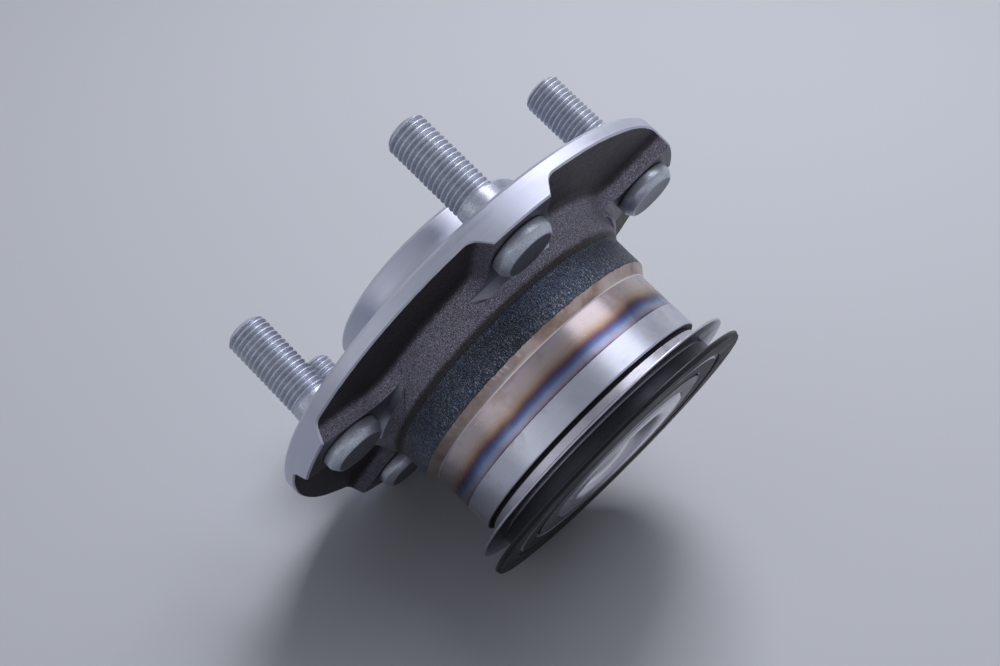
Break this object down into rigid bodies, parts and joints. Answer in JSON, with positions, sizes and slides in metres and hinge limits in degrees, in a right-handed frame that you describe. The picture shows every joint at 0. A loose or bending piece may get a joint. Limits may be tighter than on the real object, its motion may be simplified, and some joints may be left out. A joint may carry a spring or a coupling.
{
  "type": "wheel hub bearing",
  "caption": "Flanged wheel hub that turns on two rows of balls round a fixed spindle, with pressed-in studs, seals, a dust deflector and a wheel-speed encoder ring.",
  "frame": {"origin": "bearing axis at the wheel mounting face of the flange, the centre of the stud circle", "axes": "+Z along the bearing axis, outboard, towards the wheel; +Y through wheel_stud_1; the unit stands on the inner rings' inboard end face"},
  "size_m": [0.1394, 0.1394, 0.0894],
  "materials": {
    "hub_steel": "forged scale on the neck and pockets, turned and ground elsewhere, heat tint on the barrel",
    "stud_zinc": "matt zinc-flake coating",
    "ground_steel": "ground and superfinished bearing steel",
    "ball_steel": "polished bearing steel",
    "spring_steel": "blued spring band",
    "cage_nylon": "glass-filled nylon",
    "seal_steel": "pressed stainless sheet",
    "seal_rubber": "moulded nitrile rubber",
    "plated_sheet": "bright plated pressed sheet",
    "coated_sheet": "dark coated pressed sheet",
    "magnet_rubber": "magnetised rubber"
  },
  "bodies": {
    "inner_rings": {"inner_ring_outboard": "ground_steel", "inner_ring_inboard": "ground_steel", "inner_ring_clip": "spring_steel", "inboard_seal_slinger": "seal_steel"},
    "hub": {"hub": "hub_steel", "wheel_stud_1": "stud_zinc", "wheel_stud_2": "stud_zinc", "wheel_stud_3": "stud_zinc", "wheel_stud_4": "stud_zinc", "wheel_stud_5": "stud_zinc", "outboard_seal_core": "seal_steel", "outboard_seal_lips": "seal_rubber", "inboard_seal_core": "seal_steel", "inboard_seal_lips": "seal_rubber", "dust_deflector": "plated_sheet", "encoder_carrier": "coated_sheet", "encoder_magnet_ring": "magnet_rubber"},
    "ball_set_outboard": {"cage_outboard": "cage_nylon", "ball_outboard_01": "ball_steel", "ball_outboard_02": "ball_steel", "ball_outboard_03": "ball_steel", "ball_outboard_04": "ball_steel", "ball_outboard_05": "ball_steel", "ball_outboard_06": "ball_steel", "ball_outboard_07": "ball_steel", "ball_outboard_08": "ball_steel", "ball_outboard_09": "ball_steel", "ball_outboard_10": "ball_steel", "ball_outboard_11": "ball_steel", "ball_outboard_12": "ball_steel"},
    "ball_set_inboard": {"cage_inboard": "cage_nylon", "ball_inboard_01": "ball_steel", "ball_inboard_02": "ball_steel", "ball_inboard_03": "ball_steel", "ball_inboard_04": "ball_steel", "ball_inboard_05": "ball_steel", "ball_inboard_06": "ball_steel", "ball_inboard_07": "ball_steel", "ball_inboard_08": "ball_steel", "ball_inboard_09": "ball_steel", "ball_inboard_10": "ball_steel", "ball_inboard_11": "ball_steel", "ball_inboard_12": "ball_steel"}
  },
  "joints": [
    {"name": "hub_spin", "type": "hinge", "parent": "inner_rings", "child": "hub", "pos_m": [0, 0, 0], "axis": [0, 0, 1], "continuous": true},
    {"name": "outboard_balls_orbit", "type": "hinge", "parent": "inner_rings", "child": "ball_set_outboard", "pos_m": [0, 0, -0.012], "axis": [0, 0, 1], "continuous": true},
    {"name": "inboard_balls_orbit", "type": "hinge", "parent": "inner_rings", "child": "ball_set_inboard", "pos_m": [0, 0, -0.0435], "axis": [0, 0, 1], "continuous": true}
  ],
  "couplings": [
    {"joint": "outboard_balls_orbit", "follows": "hub_spin", "ratio": 0.5917},
    {"joint": "inboard_balls_orbit", "follows": "hub_spin", "ratio": 0.5917}
  ]
}
